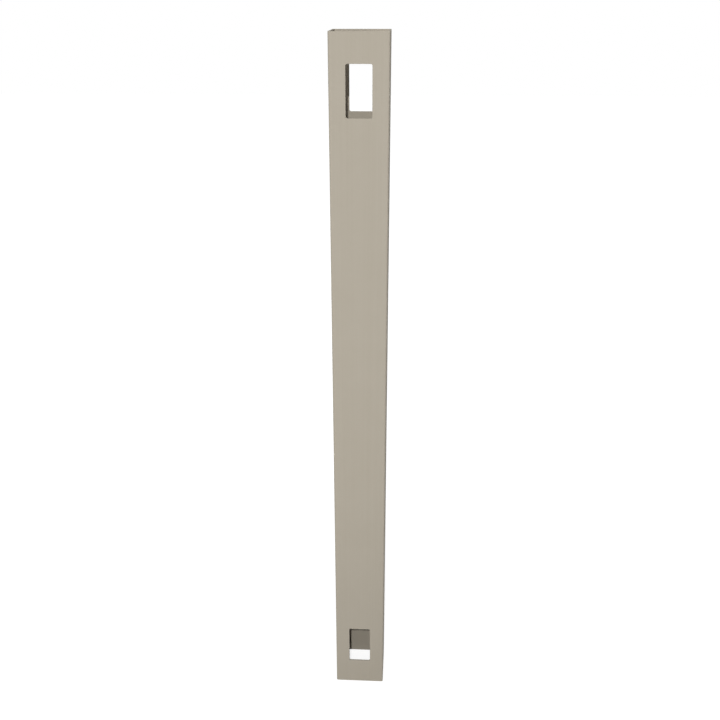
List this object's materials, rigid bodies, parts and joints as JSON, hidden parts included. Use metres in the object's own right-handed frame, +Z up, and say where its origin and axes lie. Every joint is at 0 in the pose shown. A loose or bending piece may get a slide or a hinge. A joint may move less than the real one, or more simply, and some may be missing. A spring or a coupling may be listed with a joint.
{
  "type": "vinyl fence line post",
  "caption": "Square hollow vinyl fence line post, open at the ends, with an upper and a lower rail slot routed straight through its front and rear walls.",
  "frame": {"origin": "middle of the post's base, on the plane of its sawn bottom end", "axes": "+Z up the post, rails run along Y through the slotted front (-Y) and rear (+Y) walls, plain walls face +X and -X"},
  "size_m": [0.1016, 0.1016, 1.3462],
  "materials": {
    "tan_pvc": "satin extruded tan PVC, coloured right through"
  },
  "bodies": {
    "root": {"line_post": "tan_pvc"}
  },
  "joints": []
}
